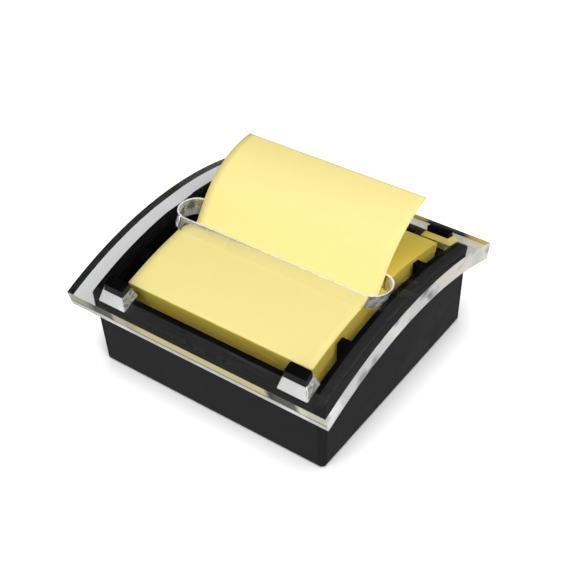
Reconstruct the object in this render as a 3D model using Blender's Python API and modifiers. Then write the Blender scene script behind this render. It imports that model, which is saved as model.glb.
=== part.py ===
"""Sticky note dispenser: a weighted desk base with a clear arched cover that feeds a pad through a slot.

Metres, +Z up. The origin is on the table under the middle of the base. +X runs along the front edge to the
right and +Y goes back. The cover, the deck and the pad all follow arches about one axis, parallel to X.
"""

import math

import bmesh
import bpy
from mathutils import Matrix, Vector

# The refill pad, which everything is sized around. It lies near the back wall of the well
PAD_SIDE = 0.0762
PAD_THICKNESS = 0.0110
PAD_SET_BACK = 0.0020
CARD_THICKNESS = 0.0006
SHEET_THICKNESS = 0.0002

# Clearances
SEAT_GAP = 0.0003
PAPER_GAP = 0.0003
POST_CLEARANCE = 0.0003
RIB_CLEARANCE = 0.0012

# The clear cover
COVER_THICKNESS = 0.00635
ARCH_RADIUS = 0.137
CREST_HEIGHT = 0.0421
OVERHANG_X = 0.0051
OVERHANG_Y = 0.0061
COVER_END_INSET = 0.0015

# The slot in the cover: round ends, and a front wall that leans forward going down
SLOT_SPARE_LENGTH = 0.0052
SLOT_WIDTH = 0.0120
SLOT_FLARE = 0.0031

# The base: deck, well, walls
SIDE_GAP = 0.0048
END_GAP = 0.0019
RIM_WIDTH = 0.0050
DECK_THICKNESS = 0.0022
TRAY_WALL = 0.0016
TRAY_FLOOR = 0.0020
WELL_CORNER_RADIUS = 0.0030
BASE_CORNER_RADIUS = 0.0015
BASE_INNER_RADIUS = 0.0010
BASE_DRAFT = 0.0010
SHELL_WALL = 0.0022
SHELL_REBATE = 0.0008

# Ribs on the side walls of the well, which keep the pad in the middle
RIB_THICKNESS = 0.0030
RIB_PLACE_Y = 0.0225
RIB_DROP = 0.0004

# Corner posts on the deck
POST_PLACE_X = 0.0373
POST_BOTTOM_WIDTH = 0.0094
POST_TOP_WIDTH = 0.0084
POST_DEPTH = 0.0040
POST_LEAN = 0.0003
POST_PROUD = 0.0020
POST_EDGE_RADIUS = 0.0004
TENON_WIDTH = 0.0060
TENON_DEPTH = 0.0020
TENON_LENGTH = 0.0014
POCKET_DRAFT_X = 0.0014
POCKET_DRAFT_INNER = 0.0020
POCKET_DRAFT_OUTER = 0.0005

# Base plate and feet
PLATE_THICKNESS = 0.0024
FOOT_RADIUS = 0.0055
FOOT_PROUD = 0.0008
FOOT_RECESS = 0.0012
FOOT_INSET_X = 0.0104
FOOT_INSET_Y = 0.0095
FOOT_EDGE_RADIUS = 0.0004

# Steel ballast, which fills the room between the pillars
BALLAST_SIDE_GAP = 0.0016
BALLAST_END_GAP = 0.0054
BALLAST_HEIGHT = 0.0060
BALLAST_EDGE_RADIUS = 0.0010
BALLAST_SCREW_INSET = 0.0120

# Screws and the pillars that take them
PILLAR_RADIUS = 0.0034
PILLAR_INSET_X = 0.0134
PILLAR_INSET_Y = 0.0220
SCREW_RADIUS = 0.0012
SCREW_HEAD_RADIUS = 0.0024
SCREW_HEAD_HEIGHT = 0.0010
SCREW_HEAD_RECESS = 0.0014
BASE_SCREW_LENGTH = 0.0090
BALLAST_SCREW_LENGTH = 0.0050
DRIVE_WIDTH = 0.0008
DRIVE_LENGTH = 0.0028
DRIVE_DEPTH = 0.0006

# The popped sheet
NOTE_RISE_DEG = 53
NOTE_BEND_RADIUS = 0.0020
NOTE_SLOT_GAP = 0.0004
NOTE_END_DEG = 4
NOTE_TWIST = 0.0016

# Overrun of cutters past what they cut, the fineness of round shapes, and the reach of merged points
OVERRUN = 0.0020
ARCH_STEP_DEG = 1.4
SHARP_DEG = 30
ROUND_SEGMENTS = 28
CORNER_SEGMENTS = 4
BEND_STEPS = 6
CURL_STEPS = 16
MERGE_DISTANCE = 0.00001

# Heights and arches worked out from the sizes above
SHELL_BOTTOM = FOOT_PROUD
COVER_TOP = SHELL_BOTTOM + CREST_HEIGHT
ARCH_CENTRE_Z = COVER_TOP - ARCH_RADIUS
UNDERSIDE_RADIUS = ARCH_RADIUS - COVER_THICKNESS
DECK_RADIUS = UNDERSIDE_RADIUS - SEAT_GAP
DECK_UNDER_RADIUS = DECK_RADIUS - DECK_THICKNESS
SHEET_RADIUS = UNDERSIDE_RADIUS - PAPER_GAP
PAD_RADIUS = SHEET_RADIUS - SHEET_THICKNESS - PAPER_GAP
PAD_UNDER_RADIUS = PAD_RADIUS - PAD_THICKNESS
CARD_RADIUS = PAD_UNDER_RADIUS - PAPER_GAP
CARD_UNDER_RADIUS = CARD_RADIUS - CARD_THICKNESS
FLOOR_RADIUS = CARD_UNDER_RADIUS - SEAT_GAP
FLOOR_UNDER_RADIUS = FLOOR_RADIUS - TRAY_FLOOR
FLOOR_MIDDLE_RADIUS = FLOOR_RADIUS - TRAY_FLOOR / 2

# Plan sizes worked out from the pad outwards, each half of the whole
WELL_HALF_X = PAD_SIDE / 2 + SIDE_GAP
WELL_HALF_Y = PAD_SIDE / 2 + END_GAP
BASE_HALF_X = WELL_HALF_X + RIM_WIDTH
BASE_HALF_Y = WELL_HALF_Y + RIM_WIDTH
BOTTOM_HALF_X = BASE_HALF_X - BASE_DRAFT
BOTTOM_HALF_Y = BASE_HALF_Y - BASE_DRAFT
COVER_HALF_X = BASE_HALF_X + OVERHANG_X
COVER_HALF_Y = BASE_HALF_Y + OVERHANG_Y
POST_PLACE_Y = BASE_HALF_Y - RIM_WIDTH / 2
SLOT_HALF_LENGTH = PAD_SIDE / 2 + SLOT_SPARE_LENGTH
SLOT_BACK = SLOT_WIDTH / 2
FOOT_PLACE_X = BOTTOM_HALF_X - FOOT_INSET_X
FOOT_PLACE_Y = BOTTOM_HALF_Y - FOOT_INSET_Y
PILLAR_PLACE_X = BOTTOM_HALF_X - PILLAR_INSET_X
PILLAR_PLACE_Y = BOTTOM_HALF_Y - PILLAR_INSET_Y
BALLAST_HALF_X = PILLAR_PLACE_X - PILLAR_RADIUS - BALLAST_SIDE_GAP
BALLAST_HALF_Y = BOTTOM_HALF_Y - SHELL_WALL - BALLAST_END_GAP
BALLAST_SCREW_PLACE_Y = BALLAST_HALF_Y - BALLAST_SCREW_INSET

# Levels under the deck
PLATE_TOP = SHELL_BOTTOM + PLATE_THICKNESS
HEAD_RECESS_TOP = SHELL_BOTTOM + SCREW_HEAD_RECESS
HEAD_TOP = HEAD_RECESS_TOP - SEAT_GAP
HEAD_BOTTOM = HEAD_TOP - SCREW_HEAD_HEIGHT
FOOT_RECESS_TOP = SHELL_BOTTOM + FOOT_RECESS
BALLAST_BOTTOM = PLATE_TOP + SEAT_GAP
PILLAR_BOTTOM = PLATE_TOP + SEAT_GAP
SCREW_HOLE_RADIUS = SCREW_RADIUS + SEAT_GAP
HEAD_HOLE_RADIUS = SCREW_HEAD_RADIUS + SEAT_GAP

CORNERS = {
    "front_left": (-1, -1),
    "front_right": (1, -1),
    "back_left": (-1, 1),
    "back_right": (1, 1),
}


# Scene, collections and materials

def start_scene():
    for old in list(bpy.data.objects):
        bpy.data.objects.remove(old, do_unlink=True)
    found = {}
    for name in ("sticky_note_dispenser", "cutters"):
        collection = bpy.data.collections.new(name)
        bpy.context.scene.collection.children.link(collection)
        found[name] = collection
    return found["sticky_note_dispenser"], found["cutters"]


PARTS, CUTTERS = start_scene()


def finish(obj, colour, roughness, metallic=0.0, alpha=1.0, transmission=0.0):
    """Give a part its own Principled material."""
    material = bpy.data.materials.new(obj.name)
    material.use_nodes = True
    shader = material.node_tree.nodes["Principled BSDF"]
    shader.inputs["Base Color"].default_value = (*colour, 1.0)
    shader.inputs["Roughness"].default_value = roughness
    shader.inputs["Metallic"].default_value = metallic
    shader.inputs["Alpha"].default_value = alpha
    shader.inputs["Transmission Weight"].default_value = transmission
    material.diffuse_color = (*colour, alpha)
    obj.data.materials.clear()
    obj.data.materials.append(material)
    return obj


def black_plastic(obj):
    return finish(obj, (0.012, 0.013, 0.012), 0.32)


def steel(obj):
    return finish(obj, (0.45, 0.46, 0.47), 0.35, metallic=1.0)


def yellow_paper(obj):
    return finish(obj, (0.90, 0.78, 0.28), 0.75)


# Shapes

def place(bm, name, collection):
    """Turn a bmesh into an object with its faces pointing out."""
    bmesh.ops.recalc_face_normals(bm, faces=bm.faces)
    mesh = bpy.data.meshes.new(name)
    bm.to_mesh(mesh)
    bm.free()
    obj = bpy.data.objects.new(name, mesh)
    collection.objects.link(obj)
    if collection is CUTTERS:
        obj.hide_render = True
        obj.display_type = "WIRE"
    return obj


def loft(name, sections, collection):
    """A closed solid through sections that have the same number of points. A cutter's walls can be a little
    twisted, so they are made triangles, which cut the same way each time."""
    bm = bmesh.new()
    verts = [bm.verts.new(point) for point in sections[0]]
    first = face = bm.faces.new(verts)
    for section in sections[1:]:
        made = bmesh.ops.extrude_face_region(bm, geom=[face])["geom"]
        if face is not first and face.is_valid:
            bm.faces.remove(face)
        face = next(item for item in made if isinstance(item, bmesh.types.BMFace))
        verts = [min(face.verts, key=lambda new: (new.co - old.co).length) for old in verts]
        for vert, point in zip(verts, section):
            vert.co = point
    if collection is CUTTERS:
        bmesh.ops.triangulate(bm, faces=bm.faces[:])
    return place(bm, name, collection)


def drafted_box(name, half_x, half_y, low_z, high_z, radius, collection, top_extra=0.0):
    """A box with round upright corners, wider at the top by top_extra on each side."""
    bm = bmesh.new()
    bmesh.ops.create_cube(bm, size=2.0)
    for vert in bm.verts:
        top = vert.co.z > 0
        grow = top_extra if top else 0.0
        vert.co.x *= half_x + grow
        vert.co.y *= half_y + grow
        vert.co.z = high_z if top else low_z
    if radius > 0:
        upright = [e for e in bm.edges if (e.verts[0].co.z > low_z) != (e.verts[1].co.z > low_z)]
        bmesh.ops.bevel(
            bm,
            geom=upright,
            offset=radius,
            offset_type="OFFSET",
            segments=CORNER_SEGMENTS,
            profile=0.5,
            affect="EDGES",
            clamp_overlap=True,
        )
    return place(bm, name, collection)


def cylinder(name, radius, centre, low_z, high_z, collection, segments=ROUND_SEGMENTS):
    """An upright cylinder."""
    bm = bmesh.new()
    middle = Vector((centre[0], centre[1], (low_z + high_z) / 2))
    bmesh.ops.create_cone(
        bm,
        cap_ends=True,
        segments=segments,
        radius1=radius,
        radius2=radius,
        depth=high_z - low_z,
        matrix=Matrix.Translation(middle),
    )
    return place(bm, name, collection)


def arch_cylinder(name, radius):
    """A cylinder that lies along X about the arch axis, wide enough to cut anything here."""
    bm = bmesh.new()
    steps = round(math.tau / math.radians(ARCH_STEP_DEG))
    turn = Matrix.Rotation(math.pi / 2, 4, "Y")
    bmesh.ops.create_cone(
        bm,
        cap_ends=True,
        segments=steps,
        radius1=radius,
        radius2=radius,
        depth=COVER_HALF_X * 2 + OVERRUN,
        matrix=Matrix.Translation(Vector((0, 0, ARCH_CENTRE_Z))) @ turn,
    )
    return place(bm, name, CUTTERS)


def arch_band(name, half_x, inner, outer, start, end, collection):
    """A bent slab: a rectangle swept about the arch axis between two angles, its ends square to the arch."""
    bm = bmesh.new()
    corners = [(-half_x, inner), (half_x, inner), (half_x, outer), (-half_x, outer)]
    face = bm.faces.new([bm.verts.new(on_arch(x, start, radius)) for x, radius in corners])
    bmesh.ops.spin(
        bm,
        geom=[face, *face.edges, *face.verts],
        cent=(0, 0, ARCH_CENTRE_Z),
        axis=(-1, 0, 0),
        angle=end - start,
        steps=round((end - start) / math.radians(ARCH_STEP_DEG)),
    )
    return place(bm, name, collection)


def on_arch(x, angle, radius):
    """A point at an angle back from the crest, on an arch of this radius."""
    return Vector((x, radius * math.sin(angle), ARCH_CENTRE_Z + radius * math.cos(angle)))


def arch_height(y, radius):
    return ARCH_CENTRE_Z + math.sqrt(radius**2 - y**2)


def boolean(target, operation, cutter):
    modifier = target.modifiers.new(f"{operation.lower()} {cutter.name}", "BOOLEAN")
    modifier.operation = operation
    modifier.solver = "EXACT"
    modifier.object = cutter
    return target


def round_edges(obj, width, segments=2):
    modifier = obj.modifiers.new("round edges", "BEVEL")
    modifier.width = width
    modifier.segments = segments
    modifier.limit_method = "ANGLE"
    modifier.angle_limit = math.radians(SHARP_DEG)
    return obj


def shade_round(obj):
    obj.data.shade_smooth()
    obj.data.set_sharp_from_angle(angle=math.radians(SHARP_DEG))
    return obj


# Corner posts and the pockets they stand in

def post_section(signs, half_width, near_y, far_y, radius):
    """A rectangle on an arch surface at one corner, from near_y to far_y away from the middle."""
    side, end = signs
    points = []
    for across, along in ((-1, near_y), (1, near_y), (1, far_y), (-1, far_y)):
        x = side * POST_PLACE_X + across * half_width
        points.append(Vector((x, end * along, arch_height(along, radius))))
    return points


def post_reach(share):
    """Inner and outer Y of a post where share runs from 0 on the deck to 1 at the cover's top."""
    near = POST_PLACE_Y - POST_DEPTH / 2 + POST_LEAN * share
    return near, near + POST_DEPTH


def cover_post(corner, signs):
    low_near, low_far = post_reach(0)
    top_near, top_far = post_reach(1)
    low = post_section(signs, POST_BOTTOM_WIDTH / 2, low_near, low_far, DECK_RADIUS + SEAT_GAP)
    waist = post_section(signs, POST_TOP_WIDTH / 2, top_near, top_far, ARCH_RADIUS)
    top = post_section(signs, POST_TOP_WIDTH / 2, top_near, top_far, ARCH_RADIUS + POST_PROUD)
    post = loft(f"cover_post_{corner}", [low, waist, top], PARTS)
    round_edges(post, POST_EDGE_RADIUS)
    tenon = tenon_block(f"tenon_{corner}", signs, 0.0, TENON_LENGTH - SEAT_GAP, POST_EDGE_RADIUS + SEAT_GAP)
    boolean(post, "UNION", tenon)
    return black_plastic(post)


def tenon_block(name, signs, clearance, depth, rise):
    """The tenon under a post, or with a clearance the socket for it in the deck."""
    near = POST_PLACE_Y - TENON_DEPTH / 2 - clearance
    far = POST_PLACE_Y + TENON_DEPTH / 2 + clearance
    half_width = TENON_WIDTH / 2 + clearance
    low = post_section(signs, half_width, near, far, DECK_RADIUS - depth)
    high = post_section(signs, half_width, near, far, DECK_RADIUS + rise)
    return loft(name, [low, high], CUTTERS)


def pocket(corner, signs):
    """The tapered hole in the cover round a post, which widens going down."""
    top_near, top_far = post_reach(1)
    top_half = POST_TOP_WIDTH / 2 + POST_CLEARANCE
    top_near -= POST_CLEARANCE
    top_far += POST_CLEARANCE
    spill = OVERRUN / COVER_THICKNESS

    def section(share, radius):
        half_width = top_half + POCKET_DRAFT_X * share
        near = top_near - POCKET_DRAFT_INNER * share
        far = top_far + POCKET_DRAFT_OUTER * share
        return post_section(signs, half_width, near, far, radius)

    low = section(1 + spill, UNDERSIDE_RADIUS - OVERRUN)
    high = section(-spill, ARCH_RADIUS + OVERRUN)
    return loft(f"pocket_{corner}", [low, high], CUTTERS)


# The clear cover

def stadium(half_length, front, back, z):
    """A round-ended slot outline between two Y values."""
    radius = (back - front) / 2
    middle = (back + front) / 2
    run = half_length - radius
    points = []
    for side, start in ((1, -90), (-1, 90)):
        for step in range(ROUND_SEGMENTS // 2 + 1):
            angle = math.radians(start + 360 * step / ROUND_SEGMENTS)
            x = side * run + radius * math.cos(angle)
            points.append(Vector((x, middle + radius * math.sin(angle), z)))
    return points


def slot_cutter():
    spill = OVERRUN / COVER_THICKNESS
    low_z = COVER_TOP - COVER_THICKNESS - OVERRUN
    high_z = COVER_TOP + OVERRUN
    low_front = -SLOT_WIDTH / 2 - SLOT_FLARE * (1 + spill)
    high_front = -SLOT_WIDTH / 2 + SLOT_FLARE * spill
    low = stadium(SLOT_HALF_LENGTH, low_front, SLOT_BACK, low_z)
    high = stadium(SLOT_HALF_LENGTH, high_front, SLOT_BACK, high_z)
    return loft("slot", [low, high], CUTTERS)


def clear_cover():
    """The bent slab with its slot and pockets. Its end faces lean inwards a little going down."""
    outer_half = math.asin(COVER_HALF_Y / ARCH_RADIUS)
    inner_half = math.asin((COVER_HALF_Y - COVER_END_INSET) / UNDERSIDE_RADIUS)
    steps = round(2 * outer_half / math.radians(ARCH_STEP_DEG))
    sections = []
    for step in range(steps + 1):
        share = 2 * step / steps - 1
        section = [on_arch(side * COVER_HALF_X, share * inner_half, UNDERSIDE_RADIUS) for side in (-1, 1)]
        section += [on_arch(side * COVER_HALF_X, share * outer_half, ARCH_RADIUS) for side in (1, -1)]
        sections.append(section)
    cover = loft("clear_cover", sections, PARTS)
    boolean(cover, "DIFFERENCE", slot_cutter())
    for corner, signs in CORNERS.items():
        boolean(cover, "DIFFERENCE", pocket(corner, signs))
    return finish(cover, (0.94, 0.96, 0.96), 0.03, alpha=0.25, transmission=1.0)


# The base: tray, shell, plate, ballast, feet and screws

def side_shell():
    shell = drafted_box(
        "side_shell",
        BOTTOM_HALF_X,
        BOTTOM_HALF_Y,
        SHELL_BOTTOM,
        COVER_TOP,
        BASE_CORNER_RADIUS,
        PARTS,
        BASE_DRAFT,
    )
    boolean(shell, "INTERSECT", arch_cylinder("shell_top_arch", DECK_UNDER_RADIUS - SEAT_GAP))
    slope = BASE_DRAFT / (COVER_TOP - SHELL_BOTTOM)
    low_z = SHELL_BOTTOM - OVERRUN
    high_z = COVER_TOP + OVERRUN
    room = drafted_box(
        "shell_room",
        BOTTOM_HALF_X - SHELL_WALL - slope * OVERRUN,
        BOTTOM_HALF_Y - SHELL_WALL - slope * OVERRUN,
        low_z,
        high_z,
        BASE_INNER_RADIUS,
        CUTTERS,
        slope * (high_z - low_z),
    )
    boolean(shell, "DIFFERENCE", room)
    rebate = drafted_box(
        "plate_rebate",
        BOTTOM_HALF_X - SHELL_WALL + SHELL_REBATE,
        BOTTOM_HALF_Y - SHELL_WALL + SHELL_REBATE,
        low_z,
        PLATE_TOP + SEAT_GAP,
        BASE_INNER_RADIUS,
        CUTTERS,
    )
    boolean(shell, "DIFFERENCE", rebate)
    return black_plastic(shell)


def under_deck_space():
    """All the room under the deck that isn't the well block, cut away from the tray."""
    space = arch_cylinder("under_deck_space", DECK_UNDER_RADIUS)
    block = drafted_box(
        "well_block",
        WELL_HALF_X + TRAY_WALL,
        WELL_HALF_Y + TRAY_WALL,
        SHELL_BOTTOM - OVERRUN,
        COVER_TOP + OVERRUN,
        WELL_CORNER_RADIUS + TRAY_WALL,
        CUTTERS,
    )
    boolean(block, "DIFFERENCE", arch_cylinder("floor_under_arch", FLOOR_UNDER_RADIUS))
    boolean(space, "DIFFERENCE", block)
    return space


def well_room():
    """The well for the pad: square, with an arched floor."""
    room = drafted_box(
        "well_room",
        WELL_HALF_X,
        WELL_HALF_Y,
        SHELL_BOTTOM,
        COVER_TOP + OVERRUN,
        WELL_CORNER_RADIUS,
        CUTTERS,
    )
    return boolean(room, "DIFFERENCE", arch_cylinder("floor_arch", FLOOR_RADIUS))


def rib(side, end):
    """One centring rib, standing on the floor of the well against its side wall."""
    inner = PAD_SIDE / 2 + RIB_CLEARANCE
    outer = WELL_HALF_X + TRAY_WALL / 2
    bm = bmesh.new()
    bmesh.ops.create_cube(bm, size=1.0)
    for vert in bm.verts:
        vert.co.x = side * (outer if vert.co.x > 0 else inner)
        vert.co.y = end * RIB_PLACE_Y + vert.co.y * RIB_THICKNESS
        vert.co.z = COVER_TOP if vert.co.z > 0 else SHELL_BOTTOM
    block = place(bm, f"rib_{side}_{end}", CUTTERS)
    boolean(block, "INTERSECT", arch_cylinder(f"rib_top_{side}_{end}", DECK_RADIUS - RIB_DROP))
    return boolean(block, "DIFFERENCE", arch_cylinder(f"rib_foot_{side}_{end}", FLOOR_MIDDLE_RADIUS))


def pillar(name, centre):
    """One pillar from the underside of the tray down to the base plate."""
    post = cylinder(f"pillar_{name}", PILLAR_RADIUS, centre, PILLAR_BOTTOM, COVER_TOP, CUTTERS)
    return boolean(post, "INTERSECT", arch_cylinder(f"pillar_top_{name}", FLOOR_MIDDLE_RADIUS))


def pad_tray():
    tray = drafted_box(
        "pad_tray",
        BOTTOM_HALF_X,
        BOTTOM_HALF_Y,
        SHELL_BOTTOM,
        COVER_TOP,
        BASE_CORNER_RADIUS,
        PARTS,
        BASE_DRAFT,
    )
    boolean(tray, "INTERSECT", arch_cylinder("deck_arch", DECK_RADIUS))
    boolean(tray, "DIFFERENCE", under_deck_space())
    boolean(tray, "DIFFERENCE", well_room())
    for side in (-1, 1):
        for end in (-1, 1):
            boolean(tray, "UNION", rib(side, end))
    for name, centre in base_screw_places().items():
        boolean(tray, "UNION", pillar(name, centre))
    hole_top = HEAD_TOP + BASE_SCREW_LENGTH + SEAT_GAP
    for name, centre in base_screw_places().items():
        low_z = PILLAR_BOTTOM - OVERRUN
        hole = cylinder(f"pilot_{name}", SCREW_HOLE_RADIUS, centre, low_z, hole_top, CUTTERS)
        boolean(tray, "DIFFERENCE", hole)
    for corner, signs in CORNERS.items():
        boolean(tray, "DIFFERENCE", tenon_block(f"socket_{corner}", signs, SEAT_GAP, TENON_LENGTH, OVERRUN))
    return black_plastic(tray)


def base_screw_places():
    return {name: (side * PILLAR_PLACE_X, end * PILLAR_PLACE_Y) for name, (side, end) in CORNERS.items()}


def ballast_screw_places():
    return {"front": (0, -BALLAST_SCREW_PLACE_Y), "back": (0, BALLAST_SCREW_PLACE_Y)}


def foot_places():
    return {name: (side * FOOT_PLACE_X, end * FOOT_PLACE_Y) for name, (side, end) in CORNERS.items()}


def base_plate():
    plate = drafted_box(
        "base_plate",
        BOTTOM_HALF_X - SHELL_WALL + SHELL_REBATE - SEAT_GAP,
        BOTTOM_HALF_Y - SHELL_WALL + SHELL_REBATE - SEAT_GAP,
        SHELL_BOTTOM,
        PLATE_TOP,
        BASE_INNER_RADIUS,
        PARTS,
    )
    low_z = SHELL_BOTTOM - OVERRUN
    for name, centre in foot_places().items():
        radius = FOOT_RADIUS + SEAT_GAP
        recess = cylinder(f"foot_recess_{name}", radius, centre, low_z, FOOT_RECESS_TOP, CUTTERS)
        boolean(plate, "DIFFERENCE", recess)
    for name, centre in {**base_screw_places(), **ballast_screw_places()}.items():
        head = cylinder(f"head_recess_{name}", HEAD_HOLE_RADIUS, centre, low_z, HEAD_RECESS_TOP, CUTTERS)
        hole = cylinder(f"screw_hole_{name}", SCREW_HOLE_RADIUS, centre, low_z, PLATE_TOP + OVERRUN, CUTTERS)
        boolean(plate, "DIFFERENCE", head)
        boolean(plate, "DIFFERENCE", hole)
    return black_plastic(plate)


def ballast_weight():
    ballast = drafted_box(
        "ballast_weight",
        BALLAST_HALF_X,
        BALLAST_HALF_Y,
        BALLAST_BOTTOM,
        BALLAST_BOTTOM + BALLAST_HEIGHT,
        0,
        PARTS,
    )
    round_edges(ballast, BALLAST_EDGE_RADIUS, 1)
    hole_top = HEAD_TOP + BALLAST_SCREW_LENGTH + SEAT_GAP
    low_z = BALLAST_BOTTOM - OVERRUN
    for name, centre in ballast_screw_places().items():
        hole = cylinder(f"ballast_hole_{name}", SCREW_HOLE_RADIUS, centre, low_z, hole_top, CUTTERS)
        boolean(ballast, "DIFFERENCE", hole)
    return steel(ballast)


def foot(corner, centre):
    """A turned rubber foot, glued in its recess."""
    edge = FOOT_EDGE_RADIUS
    top = FOOT_RECESS_TOP - SEAT_GAP
    profile = [(0, top), (FOOT_RADIUS, top), (FOOT_RADIUS, edge), (FOOT_RADIUS - edge, 0), (0, 0)]
    obj = turned(f"foot_{corner}", profile, PARTS)
    obj.location = (centre[0], centre[1], 0)
    return finish(shade_round(obj), (0.03, 0.03, 0.03), 0.85)


def turned(name, profile, collection):
    """A profile of (radius, height) points, turned about its own Z axis with a Screw modifier."""
    bm = bmesh.new()
    verts = [bm.verts.new((radius, 0, height)) for radius, height in profile]
    for first, second in zip(verts, verts[1:]):
        bm.edges.new((first, second))
    mesh = bpy.data.meshes.new(name)
    bm.to_mesh(mesh)
    bm.free()
    obj = bpy.data.objects.new(name, mesh)
    collection.objects.link(obj)
    screw = obj.modifiers.new("turn", "SCREW")
    screw.axis = "Z"
    screw.steps = ROUND_SEGMENTS
    screw.render_steps = ROUND_SEGMENTS
    screw.use_merge_vertices = True
    screw.merge_threshold = MERGE_DISTANCE
    if collection is CUTTERS:
        obj.hide_render = True
        obj.display_type = "WIRE"
    return obj


def screws(name, places, length):
    """Alike screws, heads down, each its own object with a cross cut into its head."""
    profile = [
        (0, HEAD_TOP + length),
        (SCREW_RADIUS, HEAD_TOP + length),
        (SCREW_RADIUS, HEAD_TOP),
        (SCREW_HEAD_RADIUS, HEAD_TOP),
        (SCREW_HEAD_RADIUS, HEAD_BOTTOM),
        (0, HEAD_BOTTOM),
    ]
    low_z = HEAD_BOTTOM - OVERRUN
    high_z = HEAD_BOTTOM + DRIVE_DEPTH
    for place_name, centre in places.items():
        one = turned(f"{name}_{place_name}", profile, PARTS)
        for index, (wide, deep) in enumerate(((DRIVE_LENGTH, DRIVE_WIDTH), (DRIVE_WIDTH, DRIVE_LENGTH))):
            bar = drafted_box(f"drive_{index}_{one.name}", wide / 2, deep / 2, low_z, high_z, 0, CUTTERS)
            bar.location = (centre[0], centre[1], 0)
            boolean(one, "DIFFERENCE", bar)
        one.location = (centre[0], centre[1], 0)
        steel(shade_round(one))


# The pad and the popped sheet

def pad_slab(name, under_radius, top_radius):
    start = (PAD_SET_BACK - PAD_SIDE / 2) / top_radius
    end = (PAD_SET_BACK + PAD_SIDE / 2) / top_radius
    return arch_band(name, PAD_SIDE / 2, under_radius, top_radius, start, end, PARTS)


def note_pad():
    return yellow_paper(pad_slab("note_pad", PAD_UNDER_RADIUS, PAD_RADIUS))


def backing_card():
    return finish(pad_slab("backing_card", CARD_UNDER_RADIUS, CARD_RADIUS), (0.62, 0.56, 0.46), 0.85)


def sheet_front_angle():
    """Where the top sheet's front edge lies, over the pad's front edge."""
    return (PAD_SET_BACK - PAD_SIDE / 2) / PAD_RADIUS


def sheet_path():
    """The popped sheet's middle line in the YZ plane: a flat part on the pad, then a bend, a straight
    climb through the slot and a curl back. Returns the tail's end angle and the raised part's points."""
    rise = math.radians(NOTE_RISE_DEG)
    middle_radius = SHEET_RADIUS - SHEET_THICKNESS / 2
    slot_y = SLOT_BACK - NOTE_SLOT_GAP
    slot_z = arch_height(slot_y, ARCH_RADIUS)
    bend_run = NOTE_BEND_RADIUS * math.sin(rise)
    bend_climb = NOTE_BEND_RADIUS * (1 - math.cos(rise))
    start_z = arch_height(0, middle_radius)
    climb = slot_z - start_z - bend_climb
    start_y = slot_y - climb / math.tan(rise) - bend_run
    start_angle = math.asin(start_y / middle_radius)
    points = []
    for step in range(BEND_STEPS + 1):
        angle = rise * step / BEND_STEPS
        y = start_y + NOTE_BEND_RADIUS * math.sin(angle)
        z = start_z + NOTE_BEND_RADIUS * (1 - math.cos(angle))
        points.append((y, z))
    points.append((slot_y, slot_z))
    tail = middle_radius * (start_angle - sheet_front_angle())
    used = tail + NOTE_BEND_RADIUS * rise + climb / math.sin(rise)
    curl = PAD_SIDE - used
    end = math.radians(NOTE_END_DEG)
    for step in range(CURL_STEPS):
        slope = rise + (end - rise) * (step + 0.5) / CURL_STEPS
        y, z = points[-1]
        points.append((y + curl / CURL_STEPS * math.cos(slope), z + curl / CURL_STEPS * math.sin(slope)))
    return start_angle, points


def ribbon(name, rows):
    """A thin sheet through rows of (left point, right point)."""
    bm = bmesh.new()
    lines = [[bm.verts.new(point) for point in row] for row in rows]
    for first, second in zip(lines, lines[1:]):
        bm.faces.new((first[0], first[1], second[1], second[0]))
    sheet = place(bm, name, PARTS)
    solidify = sheet.modifiers.new("paper", "SOLIDIFY")
    solidify.thickness = SHEET_THICKNESS
    solidify.offset = 0
    solidify.use_even_offset = True
    return yellow_paper(sheet)


def sheet_tail():
    end_angle, _ = sheet_path()
    radius = SHEET_RADIUS - SHEET_THICKNESS / 2
    start_angle = sheet_front_angle()
    end_angle -= PAPER_GAP / radius
    steps = round((end_angle - start_angle) / math.radians(ARCH_STEP_DEG))
    rows = []
    for step in range(steps + 1):
        angle = start_angle + (end_angle - start_angle) * step / steps
        rows.append([on_arch(side * PAD_SIDE / 2, angle, radius) for side in (-1, 1)])
    return ribbon("sheet_tail", rows)


def popped_note():
    """The raised part. Its free end is turned a little, the left corner further back and lower."""
    _, points = sheet_path()
    straight = BEND_STEPS + 1
    rows = []
    for index, (y, z) in enumerate(points):
        share = max(0, index - straight) / CURL_STEPS
        row = []
        for side in (-1, 1):
            shift = side * NOTE_TWIST * share**2
            row.append(Vector((side * PAD_SIDE / 2, y - shift, z + shift)))
        rows.append(row)
    return ribbon("popped_note", rows)


def build():
    side_shell()
    pad_tray()
    base_plate()
    ballast_weight()
    screws("base_screw", base_screw_places(), BASE_SCREW_LENGTH)
    screws("ballast_screw", ballast_screw_places(), BALLAST_SCREW_LENGTH)
    for corner, centre in foot_places().items():
        foot(corner, centre)
    for corner, signs in CORNERS.items():
        cover_post(corner, signs)
    clear_cover()
    backing_card()
    note_pad()
    sheet_tail()
    popped_note()


build()
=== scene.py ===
"""Looks of the sticky note dispenser: a weighted black base, a pad of notes and a clear arched cover.

Metres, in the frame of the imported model: +X goes along the front edge to the right, +Y back and +Z up, and
the origin is on the table under the middle of the base. The sections follow the order of assembly.
"""

import math
import random

import bmesh
import bpy
from mathutils import Matrix, Vector


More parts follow.
